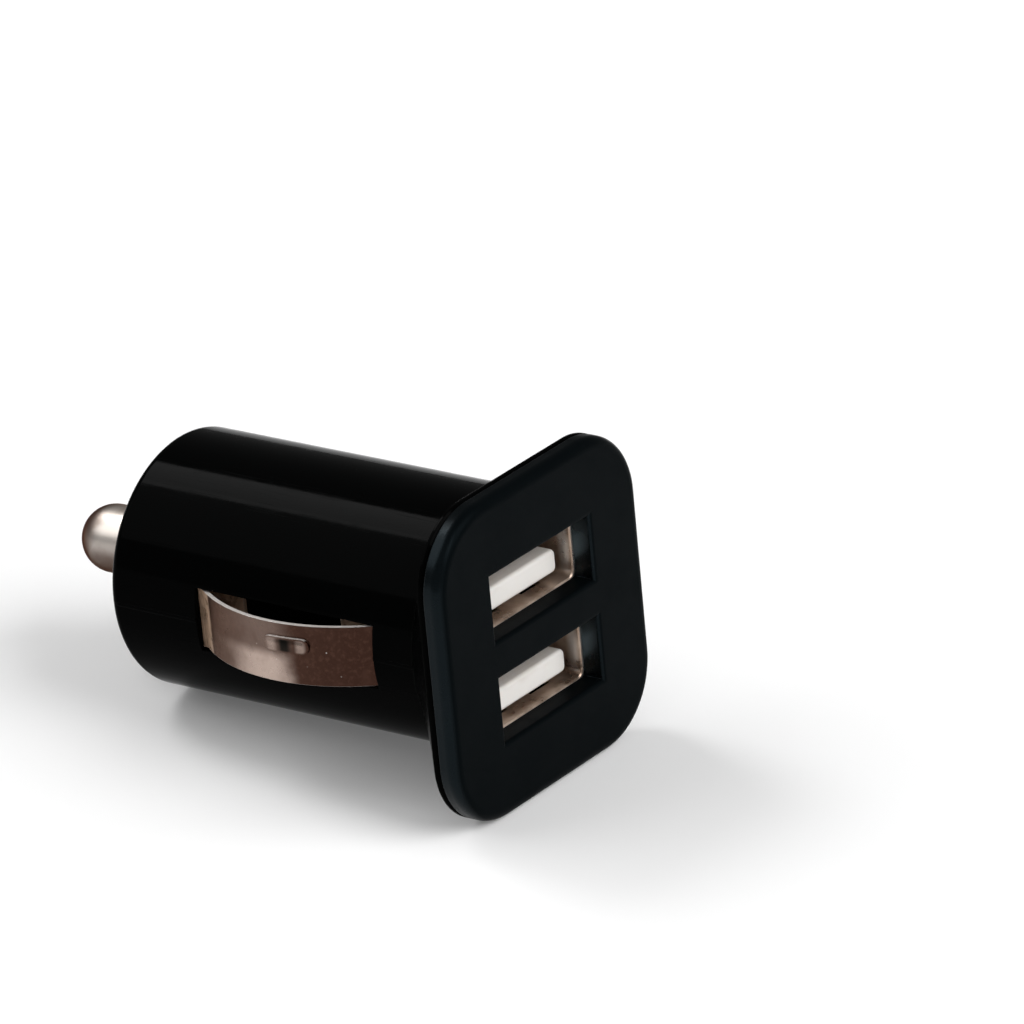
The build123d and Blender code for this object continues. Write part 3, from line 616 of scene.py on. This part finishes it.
def wire_coil(name, turns, wire, radius, rise, sides=12, steps=28):
    """A round wire wound about Z. rise gives its height at each share of its length."""
    shape = bmesh.new()
    upwards = Vector((0, 0, 1))
    count = round(turns * steps)
    rings = []
    for index in range(count + 1):
        share = index / count
        turn = 2 * math.pi * turns * share
        outwards = Vector((math.cos(turn), math.sin(turn), 0))
        middle = radius * outwards + rise(share) * upwards
        ring = []
        for side in range(sides):
            about = 2 * math.pi * side / sides
            spoke = math.cos(about) * outwards + math.sin(about) * upwards
            ring.append(shape.verts.new(middle + wire / 2 * spoke))
        rings.append(ring)
    for first, second in zip(rings, rings[1:]):
        for side in range(sides):
            after = (side + 1) % sides
            shape.faces.new((first[side], second[side], second[after], first[after])).smooth = True
    shape.faces.new(reversed(rings[0]))
    shape.faces.new(rings[-1])
    bmesh.ops.recalc_face_normals(shape, faces=shape.faces)
    mesh = bpy.data.meshes.new(name)
    shape.to_mesh(mesh)
    shape.free()
    made = bpy.data.objects.new(name, mesh)
    bpy.context.scene.collection.objects.link(made)
    return made


def spring_rise(height, wire, turns):
    """How a spring climbs: its first and last turns lie flat, one wire thick, and those between are open."""
    closed = 1 / turns
    dead = wire / height

    def rise(share):
        if share < closed:
            return height * dead * share / closed
        if share > 1 - closed:
            return height * (1 - dead * (1 - share) / closed)
        return height * (dead + (1 - 2 * dead) * (share - closed) / (1 - 2 * closed))

    return rise


class CHARGER_OT_casing(bpy.types.Operator):
    """Finish the moulded body and the face plate"""

    bl_idname = "charger.casing"
    bl_label = "Casing"

    def execute(self, context):
        scene = context.scene
        looks = scene.charger_finishes
        sizes = scene.charger_sizes
        dress(barrel_finish(looks, sizes), "body_shell")
        dress(face_finish(looks, sizes, scene.charger_wear), "face_plate")
        return {"FINISHED"}


class CHARGER_OT_clips(bpy.types.Operator):
    """Finish the two bowed side clips"""

    bl_idname = "charger.clips"
    bl_label = "Side clips"

    def execute(self, context):
        scene = context.scene
        plating = clip_finish(scene.charger_finishes, scene.charger_sizes, scene.charger_wear)
        dress(plating, "left_clip", "right_clip")
        return {"FINISHED"}


class CHARGER_OT_sockets(bpy.types.Operator):
    """Finish the shields, tongues and contacts of both sockets"""

    bl_idname = "charger.sockets"
    bl_label = "Sockets"

    def execute(self, context):
        scene = context.scene
        looks = scene.charger_finishes
        sizes = scene.charger_sizes
        dress(shield_finish(looks, sizes, scene.charger_wear), "upper_shield", "lower_shield")
        dress(tongue_finish(looks, sizes), "upper_tongue", "lower_tongue")
        dress(strip_finish("contact_gold", looks.gold, sizes), "upper_contacts", "lower_contacts")
        return {"FINISHED"}


class CHARGER_OT_tip(bpy.types.Operator):
    """Finish the contact tip and wind the round wire spring behind it"""

    bl_idname = "charger.tip"
    bl_label = "Tip and spring"

    def execute(self, context):
        scene = context.scene
        looks = scene.charger_finishes
        sizes = scene.charger_sizes
        dress(tip_finish(looks, sizes, scene.charger_wear), "contact_tip")
        dress(strip_finish("terminal_brass", looks.brass, sizes), "tip_terminal")
        self.wind_spring(looks, sizes)
        return {"FINISHED"}

    def wind_spring(self, looks, sizes):
        middle, room = node_room("tip_spring")
        wire = sizes.spring_wire
        height = room.y - wire
        rise = spring_rise(height, wire, sizes.spring_turns)
        spring = wire_coil("tip_spring_wire", sizes.spring_turns, wire, (room.x - wire) / 2, rise)
        along = Matrix.Rotation(-math.pi / 2, 4, "X")
        start = Matrix.Translation((middle.x, middle.y - height / 2, middle.z))
        spring.data.transform(start @ along)
        spring.data.materials.append(strip_finish("spring_steel", looks.steel, sizes))
        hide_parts("tip_spring")
        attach(spring, "body")
        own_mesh(spring)


class CHARGER_OT_boards(bpy.types.Operator):
    """Finish the boards and what is soldered to them, and wind the coil"""

    bl_idname = "charger.boards"
    bl_label = "Boards"

    def execute(self, context):
        looks = context.scene.charger_finishes
        sizes = context.scene.charger_sizes
        dress(board_finish(looks), "port_board", "main_board")
        tinned = strip_finish("tinned_strip", looks.tin, sizes)
        dress(tinned, "board_pins", "chip_legs", "diode_tabs", "left_ground_finger", "right_ground_finger")
        drawn = strip_finish("can_aluminium", looks.can, sizes, grain=1.5 * MM)
        dress(drawn, "input_capacitor", "output_capacitor")
        dress(epoxy_finish(looks), "converter_chip", "rectifier_diode", "chip_resistors")
        dress(ferrite_finish(looks), "inductor_core")
        self.wind_coil(looks, sizes)
        return {"FINISHED"}

    def wind_coil(self, looks, sizes):
        middle, room = node_room("inductor_winding")
        wire = sizes.coil_wire
        height = room.z - wire
        turns = math.floor(room.z / wire) - 1
        copper = strip_finish("coil_copper", looks.copper, sizes)
        for layer in range(sizes.coil_layers):
            name = f"coil_layer_{layer + 1}"
            radius = (room.x - wire) / 2 - layer * wire
            winding = wire_coil(name, turns, wire, radius, lambda share: height * (share - 0.5))
            winding.data.transform(Matrix.Translation(middle))
            winding.data.materials.append(copper)
            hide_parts("inductor_winding")
            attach(winding, "body")


def resting_line():
    """The edge of the flange that the plug lies on, as Y and Z, and the floor's slope from it to the tail."""
    level = 0.01 * MM
    clear = 1 * MM
    points = [vertex.co for vertex in frame["nodes"]["body_shell"].data.vertices]
    lowest = min(point.z for point in points)
    edge = max(point.y for point in points if point.z < lowest + level)
    beyond = [point for point in points if point.y > edge + clear]
    return edge, lowest, min((point.z - lowest) / (point.y - edge) for point in beyond)


class CHARGER_OT_stage(bpy.types.Operator):
    """Lay the floor and set the lamps, the even light all round and the camera"""

    bl_idname = "charger.stage"
    bl_label = "Stage"

    def execute(self, context):
        scene = context.scene
        look = scene.charger_stage
        scene.view_settings.view_transform = "Standard"
        self.lay_floor(scene, look)
        self.set_lamps(scene, look)
        self.set_sky(scene, look)
        self.set_camera(scene, look)
        return {"FINISHED"}

    def lay_floor(self, scene, look):
        edge, lowest, slope = resting_line()
        half = look.floor_width / 2
        corners = [(half * x, half * y, 0) for x, y in ((-1, -1), (1, -1), (1, 1), (-1, 1))]
        mesh = bpy.data.meshes.new("floor")
        mesh.from_pydata(corners, [], [(0, 1, 2, 3)])
        mesh.materials.append(floor_finish(look))
        floor = bpy.data.objects.new("floor", mesh)
        floor.location = (0, edge, lowest)
        floor.rotation_euler = (math.atan(slope), 0, 0)
        scene.collection.objects.link(floor)

    def set_lamps(self, scene, look):
        for name in ("key", "rim", "back"):
            light = bpy.data.lights.new(name, "SUN")
            light.energy = getattr(look, f"{name}_strength")
            light.angle = getattr(look, f"{name}_spread")
            lamp = bpy.data.objects.new(name, light)
            lamp.rotation_euler = Vector(getattr(look, f"{name}_from")).to_track_quat("Z", "Y").to_euler()
            scene.collection.objects.link(lamp)

    def set_sky(self, scene, look):
        world = bpy.data.worlds.new("even_light")
        world.use_nodes = True
        background = world.node_tree.nodes["Background"]
        background.inputs["Color"].default_value = (1, 1, 1, 1)
        background.inputs["Strength"].default_value = look.sky
        scene.world = world

    def set_camera(self, scene, look):
        flat = math.cos(look.elevation)
        sideways = math.sin(look.azimuth)
        onwards = math.cos(look.azimuth)
        back = Vector((sideways * flat, -onwards * flat, math.sin(look.elevation)))
        level = Vector((onwards, sideways, 0))
        upright = back.cross(level)
        right = level * math.cos(look.roll) + upright * math.sin(look.roll)
        up = back.cross(right)
        turn = Matrix((right, up, back)).transposed().to_4x4()
        data = bpy.data.cameras.new("camera")
        data.lens = look.lens
        data.clip_start = 10 * MM
        camera = bpy.data.objects.new("camera", data)
        camera.matrix_world = Matrix.Translation(Vector(look.target) + back * look.distance) @ turn
        scene.collection.objects.link(camera)
        scene.camera = camera


PIECES = (
    CHARGER_OT_casing,
    CHARGER_OT_clips,
    CHARGER_OT_sockets,
    CHARGER_OT_tip,
    CHARGER_OT_boards,
    CHARGER_OT_stage,
)


class CHARGER_PT_looks(bpy.types.Panel):
    """The plug's pieces and its studio"""

    bl_label = "Charger plug"
    bl_idname = "CHARGER_PT_looks"
    bl_space_type = "VIEW_3D"
    bl_region_type = "UI"
    bl_category = "Charger"

    def draw(self, context):
        for piece in PIECES:
            self.layout.operator(piece.bl_idname)
        for name, group in GROUPS.items():
            box = self.layout.box()
            for field in group.__annotations__:
                box.prop(getattr(context.scene, name), field)


def register():
    for name, group in GROUPS.items():
        bpy.utils.register_class(group)
        setattr(bpy.types.Scene, name, PointerProperty(type=group))
    for shown in (*PIECES, CHARGER_PT_looks):
        bpy.utils.register_class(shown)


def unregister():
    for shown in reversed((*PIECES, CHARGER_PT_looks)):
        bpy.utils.unregister_class(shown)
    for name, group in GROUPS.items():
        delattr(bpy.types.Scene, name)
        bpy.utils.unregister_class(group)


def main():
    register()
    bpy.ops.charger.casing()
    bpy.ops.charger.clips()
    bpy.ops.charger.sockets()
    bpy.ops.charger.tip()
    bpy.ops.charger.boards()
    bpy.ops.charger.stage()


if __name__ == "__main__":
    main()
